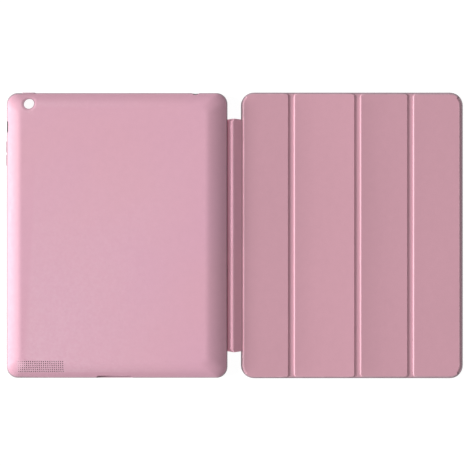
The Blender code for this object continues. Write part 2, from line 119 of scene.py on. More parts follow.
GRILLE_SIZE = tuple(count * pitch for count, pitch in zip(GRILLE_COUNT, GRILLE_PITCH))
GRILLE_HOLE_RADIUS = 0.00025
GRILLE_HOLE_SIDES = 12
GRILLE_SINK = (0.00056, 0.00026)
GRILLE_CORE_SINK = (GRILLE_HOLE_RADIUS, 0.0002)
SINK_OVERSHOOT = 0.05
WINDOW_CORNER = 0.0020
WINDOW_CORNER_STEPS = 8
SLOT_ROUNDNESS = 0.98
SLOT_CORNER_STEPS = 10
CUT_DEPTH = 0.0060
CUT_CLEAR = 0.0020
CORE_SETBACK = 0.0004

# Paint on the shell: painted shade that turns the openings' cut walls black, wear along the edges, painted shade
# that greys the outermost edge and the camera hole's rim, and painted shade that darkens the ends. A soft line of
# paint has a place, a spread and a strength.
OPENING_SHADE_REACH = 0.0026
OPENING_SHADE_MARGIN = 0.0001
WALL_TILT = 0.25
LIP_TILT = 0.5
HOLE_TILT = 0.9
# Painted shade in the grille's holes: its share of the near-black
GRILLE_SHADE = 0.62
SHOULDER_WEAR = (0.0016, 0.0015, 0.25)
CAMERA_WEAR = (CAMERA_DISH_RADIUS, 0.0007, 0.6)
# Painted shade: a dark ring at the camera hole's edge
CAMERA_RIM_SHADE = (CAMERA_RADIUS, 0.0007, 0.75)
# Painted shade on the shell's outermost edge: its width, wider on the left, its fade, and its loss low on the wall
RIM_SHADE_WIDTH = 0.0012
LEFT_RIM_SHADE_WIDTH = 0.0019
RIM_SHADE_FADE = 0.0007
RIM_SHADE_FOOT = (0.0050, 0.0016, 0.85)
# Painted shade: the shell darker towards its two ends
END_SHADE = -0.16
END_SHADE_RUN = 0.011

# Button pads: insets and heights from the foot to the crown. The top's insets are shares of the pad's width.
PAD_PLAY = 0.00008
PAD_DEPTH = 0.0018
PAD_CROWN = 0.00014
PAD_FOOT = ((0.0, -PAD_DEPTH), (0.0, -0.0003))
PAD_EDGE = ((0.00006, -0.00014), (0.00022, -0.00004), (0.00050, 0.00003), (0.00095, 0.00009))
PAD_TOP = ((0.36, PAD_CROWN * 0.96), (0.44, PAD_CROWN))
PAD_WEAR = 0.1
# Painted shade greying the whole pad
PAD_RIM_SHADE = 0.5

# Cover
COVER_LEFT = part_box("panel_1_skin")[0].x
COVER_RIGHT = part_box("panel_4_skin")[1].x
COVER_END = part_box("panel_1_skin")[1].y
COVER_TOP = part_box("panel_1_skin")[1].z
FLANGE_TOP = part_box("fold_1_skin_strip")[1].z
FOLDS = [HINGES["fold_%d" % number].x for number in (1, 2, 3)]
COVER_CORNER = 0.0113
FAR = 1.0
STRIP_HALF = 0.0017
LEFT_RISE = (0.0006, 0.0022)
RIGHT_RISE = (0.0012, 0.0022)
END_RISE = (-0.0004, 0.0019)
FOLD_RISE = (0.0, 0.00105)
FOLD_FALL = (0.00055, 0.0011)
GROOVE_CORNER = 0.0030
GROOVE_PULL = 0.0016
GROOVE_PULL_REACH = 0.0075
EDGE_ROUNDING = 0.00018
EDGE_UNDERCUT = 1.6
PANEL_DIP = 0.00025
PANEL_LIFT = (0.0003, 0.0005, 0.0005, 0.00015)
PANEL_LIFT_RUN = 0.021
PANEL_LIFT_END = 0.012
PANEL_SKIN_STEPS = (0.0002, 0.0022, 0.0048)
PANEL_ANGLE = math.radians(50)
COVER_LINING = 0.00066
LINING_GROOVE = 0.00018
LINING_EDGE = 0.0003
LINING_EDGE_DROP = 0.00012
LINING_EDGE_RISE = 0.00025
LINING_FOLD_RUN = 0.0012
LINING_STEPS_ACROSS = (0.0002, 0.004, 0.0012)
LINING_STEPS_ALONG = (0.0002, 0.006, 0.0012)
LINING_CORNER_STEPS = np.arange(0.002, 0.012, 0.001)
STRIP_COLUMNS = 19
STRIP_STEPS = (0.0003, 0.006, 0.0015)
STRIP_DIP = (0.00006, 0.0008, 0.002)
STRIP_THINNING = 0.00004
STRIP_GROOVE = 0.00018
STRIP_EDGE_RISE = 0.0001
BEND_ANGLE = math.radians(60)

# Paint on the cover: painted shade as tones from each panel's left to its right, painted highlights along panel
# 1's edge by the spine, painted shade along the outer edge, and soft lines of wear
PANEL_SHADES = ((0.0, 0.01), (0.05, 0.11), (-0.04, 0.02), (0.01, 0.01))
# Painted highlights along panel 1's left rise by the spine, and how they fade beyond its ends
JOINED_EDGE_HIGHLIGHTS = ((0.0012, 0.0007, 0.38), (0.0023, 0.00055, 0.85))
JOINED_EDGE_HIGHLIGHT_FADE = (0.002, 0.004)
COVER_RIM_SHADE = (0.0008, 0.0016)
COVER_RIM_SHADE_GROWTH = 0.0003
STRIP_RIM_SHADE_FADE = 0.0006
RISE_WEAR = (0.85, 0.3, 0.8)
STRIP_WEAR = (0.0, 0.0004, 0.3)

# Spine
SPINE_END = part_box("spine_inner_skin")[1].y
SPINE_CREST = (-0.0018, 0.0064)
SPINE_START = SKIN_HIGH.x + 0.00002
SPINE_FOOT = 0.0028
SPINE_FULLNESS = 2.6
BULGE_END = 0.86
BULGE_CROWDING = 1.3
SPINE_STEPS = (20, 9, 16)
SPINE_STEPS_ALONG = (0.0002, 0.005, 0.003)
CREST_ROUNDING = 0.0007
SPINE_HINGE_LIFT = 0.00005
SPINE_HINGE_GAPS = (0.00025, 0.00035)
SPINE_INNER_CREASE = (-0.00135, 0.00475)
SPINE_LINING_FOOT = 0.00003
SPINE_SHEET = 0.00050
SPINE_LINING_SETBACK = 0.0006
SPINE_PINCH = 0.0030
SPINE_END_ROUNDING = 0.0004
SPINE_WAVES = ((0.00006, 61.0, 0.0), (0.000036, 143.0, 1.0))
LOOSENESS = 1.5
CREST_WEAR = (SPINE_CREST[0], 0.0006, 1.0)
# Painted light: lighter in the valley between the shell's wall and the spine
VALLEY_LIGHT = (-0.0062, 0.0013, 0.42)
SHELL_HINGE = HINGES["spine_to_shell"]
CREASE = HINGES["spine_crease"]
COVER_HINGE = HINGES["cover_to_spine"]
FIRST_CUT = CREASE.x - 0.0012
SECOND_CUT = (COVER_HINGE.x + CREASE.x) / 2

# Floor, camera and light
FLOOR_HALF = 3.0
FLOOR_DROP = 0.00005
VIEW_CENTRE = (-0.00215, 0.0021)
VIEW_WIDTH = 0.4060
VIEW_HEIGHT = 0.62
SENSOR = 36.0
KEY_ELEVATION = math.radians(22)
KEY_AZIMUTH = math.radians(1.5)
KEY_SPREAD = math.radians(17)
KEY_STRENGTH = 4.65
SKY_STRENGTH = 0.44
SKY_STRENGTHS = (SKY_STRENGTH * 1.4, SKY_STRENGTH * 0.3)
WHITE = (1.0, 1.0, 1.0, 1.0)
BLACK = (0.0, 0.0, 0.0, 1.0)


# ---------- material nodes


class Nodes:
    """Short calls that add and link the nodes of one material or world."""

    def __init__(self, name, kind=bpy.data.materials, shader="Principled BSDF"):
        self.owner = kind.new(name)
        self.owner.use_nodes = True
        self.tree = self.owner.node_tree
        self.shader = self.tree.nodes[shader]
        self.places = self.add("ShaderNodeTexCoord").outputs

    def add(self, kind, inputs=None, **settings):
        node = self.tree.nodes.new(kind)
        for key, value in settings.items():
            setattr(node, key, value)
        for key, value in (inputs or {}).items():
            self.feed(node.inputs[key], value)
        return node

    def feed(self, socket, value):
        if isinstance(value, bpy.types.NodeSocket):
            self.tree.links.new(value, socket)
        else:
            socket.default_value = value

    def stretch(self, scale):
        """The place with each axis scaled, for fibres and brushed metal."""
        mapping = self.add("ShaderNodeMapping", {"Vector": self.places["Object"], "Scale": scale})
        return mapping.outputs["Vector"]

    def noise(self, scale, detail=2.0, roughness=0.5, vector=None):
        inputs = {"Scale": scale, "Detail": detail, "Roughness": roughness}
        inputs["Vector"] = vector or self.places["Object"]
        return self.add("ShaderNodeTexNoise", inputs).outputs["Fac"]

    def cells(self, scale, feature="F1"):
        inputs = {"Vector": self.places["Object"], "Scale": scale}
        return self.add("ShaderNodeTexVoronoi", inputs, feature=feature).outputs["Distance"]

    def spread(self, value, low, high, to_low=0.0, to_high=1.0):
        """A value's range moved to another range, and clamped to it."""
        keys = ("Value", "From Min", "From Max", "To Min", "To Max")
        inputs = dict(zip(keys, (value, low, high, to_low, to_high)))
        return self.add("ShaderNodeMapRange", inputs).outputs["Result"]

    def math(self, operation, *values):
        return self.add("ShaderNodeMath", dict(enumerate(values)), operation=operation).outputs[0]

    def times(self, first, second):
        return self.math("MULTIPLY", first, second)

    def blend(self, factor, first, second):
        node = self.add("ShaderNodeMix", data_type="RGBA")
        self.feed(node.inputs["Factor"], factor)
        for socket, value in zip([s for s in node.inputs if s.type == "RGBA"], (first, second)):
            self.feed(socket, value)
        return [s for s in node.outputs if s.type == "RGBA"][0]

    def scaled(self, color, factor):
        node = self.add("ShaderNodeVectorMath", {0: color, "Scale": factor}, operation="SCALE")
        return node.outputs["Vector"]

    def attribute(self, name):
        return self.add("ShaderNodeAttribute", attribute_name=name).outputs["Fac"]

    def bump(self, height, distance, strength, normal=None):
        node = self.add("ShaderNodeBump", {"Height": height, "Distance": distance, "Strength": strength})
        if normal is not None:
            self.feed(node.inputs["Normal"], normal)
        return node.outputs["Normal"]

    def shade(self, **values):
        """Set or link the shader's own sockets. A socket's name has its spaces as underscores."""
        for key, value in values.items():
            self.feed(self.shader.inputs[key.replace("_", " ")], value)
        return self.owner


def tone(color, factor):
    """A colour made lighter or darker, with full alpha."""
    return (*[min(1.0, channel * factor) for channel in color[:3]], 1.0)


def skin_material(name, color, second):
    """Fine-grained polyurethane: pebbled grain, mottling in two tones, paler, smoother worn edges, and painted
    light and shade.
    """
    n = Nodes(name)
    base = n.blend(n.spread(n.noise(9.0), 0.35, 0.65), tone(color, 1.0), tone(second, 1.0))
    mottle = n.spread(n.noise(180.0, 3.0), 0.3, 0.7)
    base = n.blend(n.times(mottle, 0.05), base, tone(color, 0.55))
    grain = n.cells(2300.0, "SMOOTH_F1")
    base = n.blend(n.times(n.spread(grain, 0.35, 0.75), 0.10), base, tone(color, 0.62))
    # painted light and shade: the tone attribute lightens or darkens the skin
    base = n.scaled(base, n.math("ADD", n.attribute("tone"), 1.0))
    # painted shade: the rim attribute greys the outermost edges, the camera hole's rim and the pads
    base = n.blend(n.times(n.attribute("rim"), 0.85), base, RIM_SHADE_COLOR)
    wear = n.times(n.attribute("wear"), n.spread(n.noise(420.0, 3.0), 0.35, 0.7, 0.35, 1.0))
    base = n.blend(n.times(wear, 0.16), base, WORN_COLOR)
    # painted shade: near black on the openings' cut walls and part dark in the grille's holes
    base = n.blend(n.attribute("opening_shade"), base, OPENING_SHADE_COLOR)
    rough = n.math("SUBTRACT", n.spread(n.noise(260.0), 0.3, 0.7, 0.52, 0.62), n.times(wear, 0.07))
    waves = n.bump(n.noise(75.0), 0.0004, 0.20, n.bump(grain, 0.00005, 0.45))
    return n.shade(Base_Color=base, Roughness=rough, Normal=waves, Specular_IOR_Level=0.5)


def lining_material(name, color):
    """Brushed microfibre: a short nap whose direction drifts, with a soft sheen."""
    n = Nodes(name)
    nap = n.noise(1.0, 4.0, 0.6, n.stretch((1500.0, 520.0, 1500.0)))
    base = n.blend(n.spread(n.noise(22.0, 3.0), 0.35, 0.65), tone(color, 0.92), tone(color, 1.06))
    base = n.blend(n.spread(nap, 0.3, 0.7, 0.0, 0.30), base, tone(color, 0.60))
    n.shade(Base_Color=base, Roughness=n.spread(nap, 0.3, 0.7, 0.88, 0.98), Normal=n.bump(nap, 0.00009, 0.55))
    return n.shade(Sheen_Weight=0.45, Sheen_Roughness=0.4, Specular_IOR_Level=0.25)


def plastic_material(name, color):
    """Matt moulded plastic with a fine spark-eroded texture and faint flow marks, and painted shade in the
    openings.
    """
    n = Nodes(name)
    speck = n.noise(2600.0)
    flow = n.spread(n.noise(1.0, 3.0, 0.55, n.stretch((8.0, 30.0, 8.0))), 0.35, 0.65)
    base = n.blend(flow, tone(color, 0.97), tone(color, 1.03))
    base = n.blend(n.times(speck, 0.12), base, tone(color, 0.70))
    # painted shade: near black on the openings' cut walls and part dark in the grille's holes
    base = n.blend(n.attribute("opening_shade"), base, OPENING_SHADE_COLOR)
    rough = n.spread(n.noise(500.0), 0.3, 0.7, 0.40, 0.52)
    return n.shade(Base_Color=base, Roughness=rough, Normal=n.bump(speck, 0.00004, 0.35))


def board_material(name, color):
    """Pressed grey-brown fibre board with flecks."""
    n = Nodes(name)
    fibres = n.noise(1.0, 5.0, 0.65, n.stretch((900.0, 160.0, 900.0)))
    base = n.blend(n.spread(fibres, 0.3, 0.7), tone(color, 0.72), tone(color, 1.18))
    flecks = n.spread(n.cells(700.0), 0.0, 0.16, 1.0, 0.0)
    base = n.blend(n.times(flecks, 0.5), base, tone(color, 0.4))
    rough = n.spread(fibres, 0.3, 0.7, 0.78, 0.92)
    return n.shade(Base_Color=base, Roughness=rough, Normal=n.bump(fibres, 0.00008, 0.5))


def metal_material(name, color):
    """Nickel-plated steel with fine lengthwise brushing and a few stains."""
    n = Nodes(name)
    brushed = n.noise(1.0, 4.0, 0.6, n.stretch((6000.0, 120.0, 6000.0)))
    stains = n.spread(n.noise(320.0, 4.0), 0.45, 0.7, 0.0, 0.35)
    base = n.blend(stains, tone(color, 1.0), tone(color, 0.62))
    rough = n.spread(brushed, 0.3, 0.7, 0.22, 0.42)
    return n.shade(Base_Color=base, Roughness=rough, Normal=n.bump(brushed, 0.00002, 0.4), Metallic=1.0)


def floor_material():
    """A plain white surface that gives off some light, so that it stays pale right up to the case."""
    n = Nodes("white_floor")
    base = n.blend(n.spread(n.noise(6.0), 0.3, 0.7, 0.985, 1.0), BLACK, tone(WHITE, 0.12))
    return n.shade(Base_Color=base, Roughness=0.9, Emission_Color=WHITE, Emission_Strength=0.93)


SLOT_COLORS = {entry["slot"]: entry["base_color"] for entry in frame["record"]["materials"]}
# Painted shade: the dark grey of the outermost edges, the camera hole's rim and the pads
RIM_SHADE_COLOR = (0.27, 0.21, 0.235, 1.0)
WORN_COLOR = (0.93, 0.80, 0.84, 1.0)
# Painted shade: the near-black of the openings' cut walls
OPENING_SHADE_COLOR = (0.022, 0.020, 0.022, 1.0)

# Finishes: each a material with the record's slot for it. The three polyurethanes are lit and shaded copies of one
# skin: the back painted lighter than the cover, and the spine lighter still
BACK_SKIN_LIT = (skin_material("back_polyurethane_lit", (0.70, 0.374, 0.480), (0.71, 0.379, 0.468)), "outer_skin")
COVER_SKIN_SHADED = (skin_material("cover_polyurethane_shaded", (0.572, 0.300, 0.364), (0.582, 0.304, 0.370)), "cover_skin")
CORE_PLASTIC = (plastic_material("core_plastic", SLOT_COLORS["moulded_core"]), "moulded_core")
SPINE_SKIN_LIT = (skin_material("spine_polyurethane_lit", (0.84, 0.43, 0.545), (0.85, 0.435, 0.535)), "cover_skin")
MICROFIBRE = (lining_material("microfibre", SLOT_COLORS["inner_lining"]), "inner_lining")
FIBRE_BOARD = board_material("fibre_board", SLOT_COLORS["stiff_board"])
PLATED_STEEL = metal_material("plated_steel", SLOT_COLORS["plated_metal"])
FLOOR = (floor_material(), None)


# ---------- mesh building blocks


def add_object(name, data):
    """A scene object for a mesh, a light or a camera."""
    made = bpy.data.objects.new(name, data)
    bpy.context.scene.collection.objects.link(made)
    return made


def link(name, mesh, finish):
    """A scene object for a finished mesh, with its material; the finish's slot is not used."""
    material, slot = finish
    mesh.materials.clear()
    mesh.materials.append(material)
    made = add_object(name, mesh)
    return made


def evaluate(target):
    """Apply all of an object's modifiers."""
    graph = bpy.context.evaluated_depsgraph_get()
    mesh = bpy.data.meshes.new_from_object(target.evaluated_get(graph))
    target.modifiers.clear()
    target.data = mesh


def smooth(target, angle=SHARP_ANGLE, weighted=False):
    """Smooth shading with sharp edges kept. Weighted normals keep the large flats flat."""
    target.data.shade_smooth()
    target.data.set_sharp_from_angle(angle=angle)
    if weighted:
        modifier = target.modifiers.new("normals", "WEIGHTED_NORMAL")
        modifier.keep_sharp = True
        modifier.weight = 90
        evaluate(target)


def soft_line(values, line):
    """A line of paint given by its place, spread and strength, fading out on both sides of its place."""
    place, spread, strength = line
    return strength * np.exp(-((values - place) / spread) ** 2)


def clamp(values):
    """Values held between 0 and 1."""
    return np.clip(values, 0.0, 1.0)


def paint(target, name, measure):
    """Give each point of a mesh its own number, by a function of its place. Only a tone may be below 0."""
    places = np.array([vertex.co for vertex in target.data.vertices], float).reshape(-1, 3)
    values = np.clip(measure(places), -1.0 if name == "tone" else 0.0, 1.0)
    layer = target.data.attributes.new(name, "FLOAT", "POINT")
    layer.data.foreach_set("value", values.astype(np.float32))


def over_grille(places):
    """Which places lie over the speaker grille."""
    return (np.abs(places[:, :2] - np.array(GRILLE)[:2]) < np.array(GRILLE_SIZE) / 2).all(axis=1)


def face_values(target, name):
    """The middle or the normal of each of a mesh's faces."""
    values = np.empty(3 * len(target.data.polygons))
    target.data.polygons.foreach_get(name, values)
    return values.reshape(-1, 3)


def shade_openings(target):
    """Painted shade: part dark in the grille's holes and near black on three openings' cut walls, but not the
    dock's lower lip.
    """
    centres, normals = face_values(target, "center"), face_values(target, "normal")
    shaded = np.zeros(len(centres), bool)
    for middle, half, axis in (
        (SWITCH, (OPENING_SHADE_REACH, SWITCH_SIZE[1] / 2, SWITCH_SIZE[0] / 2), 0),
        (HEADPHONE, (HEADPHONE_RADIUS, OPENING_SHADE_REACH, HEADPHONE_RADIUS), 1),
        (DOCK, (DOCK_SIZE[0] / 2, OPENING_SHADE_REACH, DOCK_SIZE[1] / 2), 1),
    ):
        inside = np.abs(centres - np.array(middle)) < np.array(half) + CORE_SETBACK + OPENING_SHADE_MARGIN
        is_lip = (middle is DOCK) & (normals[:, 2] > LIP_TILT)
        shaded |= inside.all(axis=1) & (np.abs(normals[:, axis]) < WALL_TILT) & ~is_lip
    in_holes = over_grille(centres) & (np.abs(normals[:, 2]) < HOLE_TILT)
    layer = target.data.attributes.new("opening_shade", "FLOAT", "FACE")
    layer.data.foreach_set("value", np.maximum(shaded, GRILLE_SHADE * in_holes).astype(np.float32))


def closed_sheet(name, top, bottom, finish, angle):
    """A closed, smoothed solid between two grids of points, each an array of rows by columns by 3."""
    rows, columns = top.shape[:2]
    points = np.concatenate([top.reshape(-1, 3), bottom.reshape(-1, 3)])
    index = np.arange(rows * columns).reshape(rows, columns)
    below = index + rows * columns
    faces = []
    for r in range(rows - 1):
        for c in range(columns - 1):
            faces.append((index[r, c], index[r, c + 1], index[r + 1, c + 1], index[r + 1, c]))
            faces.append((below[r, c], below[r + 1, c], below[r + 1, c + 1], below[r, c + 1]))
    rim = [(0, c) for c in range(columns)] + [(r, columns - 1) for r in range(1, rows)]
    rim += [(rows - 1, c) for c in range(columns - 2, -1, -1)] + [(r, 0) for r in range(rows - 2, 0, -1)]
    for first, second in zip(rim, rim[1:] + rim[:1]):
        faces.append((index[first], below[first], below[second], index[second]))
    mesh = bpy.data.meshes.new(name)
    mesh.from_pydata(points.tolist(), [], [tuple(int(i) for i in face) for face in faces])
    mesh.update()
    sheet = link(name, mesh, finish)
    smooth(sheet, angle)
    return sheet


def rounded_outline(low, high, radius, z, steps=CORNER_STEPS):
    """Points around a rectangle with round corners, anticlockwise from the lower left one."""
    left, right = low[0] + radius, high[0] - radius
    bottom, top = low[1] + radius, high[1] - radius
    points = []
    for quarter, (x, y) in enumerate(((left, bottom), (right, bottom), (right, top), (left, top))):
        for step in range(steps + 1):
            angle = math.pi + (quarter + step / steps) * math.pi / 2
            points.append((x + radius * math.cos(angle), y + radius * math.sin(angle), z))
    return points


def loft(rings, cap_first=False, bm=None):
    """A surface through rings of points, closed by a flat face at the last ring."""
    bm = bm or bmesh.new()
    loops = [[bm.verts.new(point) for point in ring] for ring in rings]
    for lower, upper in zip(loops, loops[1:]):
        for i in range(len(lower)):
            j = (i + 1) % len(lower)
            bm.faces.new((lower[i], lower[j], upper[j], upper[i]))
    bm.faces.new(loops[-1])
    if cap_first:
        bm.faces.new(list(reversed(loops[0])))
    return bm


def solid_mesh(bm, name, turn=None, place=None):
    """The mesh of a closed solid, turned and then moved to its place."""
    bmesh.ops.recalc_face_normals(bm, faces=bm.faces)
    if turn is not None:
        bmesh.ops.transform(bm, matrix=Matrix.Translation(place) @ turn, verts=bm.verts)
    mesh = bpy.data.meshes.new(name)
    bm.to_mesh(mesh)
    bm.free()
    return mesh


def tool(bm, name, turn=None, place=None):
    """A temporary solid that cuts others."""
    return add_object(name, solid_mesh(bm, name, turn, place))


def carve(target, tools):
    """Cut each tool's volume out of the target, and remove the tools."""
    for cutter in tools:
        boolean = target.modifiers.new(cutter.name, "BOOLEAN")
        boolean.operation = "DIFFERENCE"
        boolean.solver = "MANIFOLD"
        boolean.object = cutter
    evaluate(target)
    for cutter in tools:
        bpy.data.objects.remove(cutter)


FACE_LEFT = Matrix.Rotation(math.radians(-90), 4, "Y")
FACE_TOP = Matrix.Rotation(math.radians(-90), 4, "X")
FACE_BOTTOM = Matrix.Rotation(math.radians(90), 4, "X")
FACE_UP = Matrix.Identity(4)


def round_tool(name, radius, turn, place, sides=CAMERA_SIDES):
    """A cylinder that cuts a round hole."""
    bm = bmesh.new()
    size = {"segments": sides, "radius1": radius, "radius2": radius, "depth": 2 * CUT_DEPTH}
    bmesh.ops.create_cone(bm, cap_ends=True, **size)
    return tool(bm, name, turn, place)


def slot_outline(width, height, inset, radius, z):
    """A round-ended bar's outline, around the middle and a distance inside its full width and height."""
    low = (-width / 2 + inset, -height / 2 + inset)
    high = (width / 2 - inset, height / 2 - inset)
    return rounded_outline(low, high, radius, z, SLOT_CORNER_STEPS)


def slot_tool(name, width, height, turn, place):
    """A round-ended bar that cuts a slot."""
    radius = min(width, height) * SLOT_ROUNDNESS / 2
    rings = [slot_outline(width, height, 0.0, radius, z) for z in (-CUT_DEPTH, CUT_CLEAR)]
    return tool(loft(rings, cap_first=True), name, turn, place)


def grille_tool(name, sink):
    """The grille's holes, each one widened towards the outside by a sink of a given radius and depth."""
    mouth = sink[0] * (1 + SINK_OVERSHOOT)
    turns = [math.tau * k / GRILLE_HOLE_SIDES for k in range(GRILLE_HOLE_SIDES)]
    round_points = [(math.cos(turn), math.sin(turn)) for turn in turns]
    bm = bmesh.new()
    for column in range(GRILLE_COUNT[0]):
        for row in range(GRILLE_COUNT[1]):
            x = GRILLE.x + (column - (GRILLE_COUNT[0] - 1) / 2) * GRILLE_PITCH[0]
            y = GRILLE.y + (row - (GRILLE_COUNT[1] - 1) / 2) * GRILLE_PITCH[1]
            surface = shell_surface(x, y)
            stages = (
                (GRILLE_HOLE_RADIUS, surface - CUT_DEPTH),
                (GRILLE_HOLE_RADIUS, surface - sink[1]),
                (mouth, surface + SINK_OVERSHOOT * sink[1] + 1e-6),
                (mouth, surface + CUT_CLEAR),
            )
            rings = []
            for radius, z in stages:
                rings.append([(x + radius * right, y + radius * up, z) for right, up in round_points])
            loft(rings, True, bm)
    return tool(bm, name)


# ---------- back shell


def edge_curve():
    """The shell's edge from the wall to the back: distance in from the outside, height and slope."""
    length = SLOPE_PLACES[-1] / SLOPE_STEPS
    out, height = 0.0, SHELL_HEIGHT
    curve = [(out, height, 0.0)]
    for step in range(SLOPE_STEPS):
        middle = np.interp((step + 0.5) * length, SLOPE_PLACES, SLOPE_DEGREES)
        out += length * math.cos(math.radians(middle))
        height -= length * math.sin(math.radians(middle))
        slope = np.interp((step + 1) * length, SLOPE_PLACES, SLOPE_DEGREES)
        curve.append((out, height, math.radians(slope)))
    start_out, start_height = out, height
    for step in range(1, SHOULDER_STEPS + 1):
        slope = SHOULDER_SLOPE + (math.pi / 2 - SHOULDER_SLOPE) * step / SHOULDER_STEPS
        out = start_out + SHOULDER_RADIUS * (math.sin(slope) - math.sin(SHOULDER_SLOPE))
        height = start_height - SHOULDER_RADIUS * (math.cos(SHOULDER_SLOPE) - math.cos(slope))
        curve.append((out, height, slope))
    return [(out - place, height, slope) for place, height, slope in reversed(curve)]


EDGE_CURVE = edge_curve()


def edge_section(inset):
    """The edge's section for a layer that lies a distance inside the shell's outer surface."""
    return [
        (place + inset * math.sin(slope), height - inset * math.cos(slope))
        for place, height, slope in EDGE_CURVE
    ]


OUTER_SECTION = edge_section(0)
EDGE_WIDTH = OUTER_SECTION[-1][0]


def shell_ring(inset, height):
    """The shell's outline at one distance in from its outside. Its slope is wider on the spine's side."""
    radius = SHELL_CORNER - (SHELL_CORNER - CROWN_CORNER) * min(1.0, inset / EDGE_WIDTH)
    spread = max(0.0, inset - SPREAD_START) * (SPINE_SIDE_SPREAD - 1)
    low = (SKIN_LOW.x + inset, SKIN_LOW.y + inset)
    high = (SKIN_HIGH.x - inset - spread, SKIN_HIGH.y - inset)
    return rounded_outline(low, high, radius, height)


def shell_inset(x, y):
    """How far in from the shell's outside a place is, in the measure that its edge section uses."""
    right = SKIN_HIGH.x - x
    if right > SPREAD_START:
        right = SPREAD_START + (right - SPREAD_START) / SPINE_SIDE_SPREAD
    return min(x - SKIN_LOW.x, right, SKIN_HIGH.y - y, y - SKIN_LOW.y)


def shell_surface(x, y):
    """Height of the shell's outer surface above a place that isn't in a corner."""
    insets, heights = zip(*OUTER_SECTION)
    return float(np.interp(shell_inset(x, y), insets, heights))


def ease(value):
    """A smooth step from 0 to 1, of a number or of an array."""
    value = clamp(value)
    return value * value * (3 - 2 * value)


def pressed(place):
    """How far a point of the shell is pressed in by the dishes round the camera hole and the switch."""
    across, down = 0.0, 0.0
    if place.z >= CAMERA_DISH_FOOT:
        out = math.hypot(place.x - CAMERA.x, place.y - CAMERA.y)
        down = CAMERA_DISH_DEPTH * ease((CAMERA_DISH_RADIUS - out) / (CAMERA_DISH_RADIUS - CAMERA_RADIUS))
    if place.x < SWITCH.x + SWITCH_DISH_REACH:
        out = math.hypot((place.y - SWITCH.y) / SWITCH_DISH[0], (place.z - SWITCH.z) / SWITCH_DISH[1])
        across = SWITCH_DISH[2] * ease(SWITCH_DISH_EDGE * (1 - out))
    return Vector((across, 0.0, -down))


def split_by_plane(bm, faces, axis, place):
    """Cut faces along a plane square to one axis."""
    normal = Vector([float(k == axis) for k in range(3)])
    borders = dict.fromkeys(part for face in faces for part in (*face.verts, *face.edges))
    bmesh.ops.bisect_plane(bm, geom=[*borders, *faces], dist=1e-6, plane_co=normal * place, plane_no=normal)


def is_within(place, middle, reach):
    """Whether a place is within reach of another, along each axis."""
    return all(abs(place[k] - middle[k]) < reach[k] for k in range(3))


def add_dishes(bm):
    """Cut a fine mesh into the shell where it is dished, and press it in there."""
    dishes = (
        (CAMERA, Vector((CAMERA_DISH_RADIUS, CAMERA_DISH_RADIUS, DISH_MESH_DEPTHS[0])), (0, 1)),
        (SWITCH, Vector((DISH_MESH_DEPTHS[1], SWITCH_DISH[0], SWITCH_DISH[1])), (1, 2)),
    )
    for middle, reach, axes in dishes:
        for axis in axes:
            for side in (-1, 1):
                split_by_plane(bm, bm.faces[:], axis, middle[axis] + side * reach[axis])
        for axis in axes:
            count = round(2 * reach[axis] / DISH_LINE_PITCH)
            for step in range(1, count):
                near = [face for face in bm.faces if is_within(face.calc_center_median(), middle, reach)]
                split_by_plane(bm, near, axis, middle[axis] + reach[axis] * (2 * step / count - 1))
    for vertex in bm.verts:
        vertex.co += pressed(vertex.co)


def shell_layer(name, finish, section, thickness):
    """One bowl-shaped layer of the shell, dished round the camera and the switch."""
    last_inset, last_height = section[-1]
    section = section + [(last_inset + CROWN_STEP, last_height)]
    bm = loft([shell_ring(inset, height) for inset, height in section])
    mesh = bpy.data.meshes.new(name)
    bm.to_mesh(mesh)
    bm.free()
    layer = link(name, mesh, finish)
    solidify = layer.modifiers.new("thickness", "SOLIDIFY")
    solidify.thickness = thickness
    solidify.offset = -1
    solidify.use_even_offset = True
    evaluate(layer)
    bm = bmesh.new()
    bm.from_mesh(layer.data)
    add_dishes(bm)
    bm.to_mesh(layer.data)
    bm.free()
    return layer


def finish_shell_layer(layer, tools, node):
    """Cut a layer's openings, and put it in its CAD node's place on the shell."""
    carve(layer, tools)
    smooth(layer, weighted=True)
    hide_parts(node)
    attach(layer, "shell")


def side_tools(layer, grow):
    """The tools for every opening that goes through the shell's back and walls in one layer."""
    radius = HEADPHONE_RADIUS + grow
    tools = [
        round_tool(layer + "_camera", CAMERA_RADIUS + grow, FACE_UP, CAMERA_MOUTH),
        round_tool(layer + "_headphone", radius, FACE_TOP, HEADPHONE, HEADPHONE_SIDES),
    ]
    slots = [
        ("_dock", DOCK_SIZE, grow, FACE_BOTTOM, DOCK),
        ("_switch", SWITCH_SIZE, grow, FACE_LEFT, SWITCH),
    ]
    slots += [(pad["node"], pad["size"], PAD_PLAY + grow, pad["turn"], pad["place"]) for pad in PADS]
    for name, size, room, turn, place in slots:
        tools.append(slot_tool(layer + name, size[0] + 2 * room, size[1] + 2 * room, turn, place))
    return tools


def pad_facts(node, body, turn):
    """A button pad's size on its own face, and the middle of that face, from its box in the frame."""
    low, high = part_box(node)
    middle = (low + high) / 2
    size = high - low
    on_left = turn is FACE_LEFT
    return {
        "node": node,
        "body": body,
        "turn": turn,
        "size": (size.z, size.y) if on_left else (size.x, size.z),
        "place": Vector((low.x, middle.y, middle.z) if on_left else (middle.x, high.y, middle.z)),
    }


PADS = (
    pad_facts("power_button_pad", "power_button", FACE_TOP),
    pad_facts("volume_up_pad", "volume_up_button", FACE_LEFT),
    pad_facts("volume_down_pad", "volume_down_button", FACE_LEFT),
)


def camera_ring(places, ring):
    """A soft line of paint round the camera hole, whose place is its radius."""
    return soft_line(np.hypot(places[:, 0] - CAMERA.x, places[:, 1] - CAMERA.y), ring)


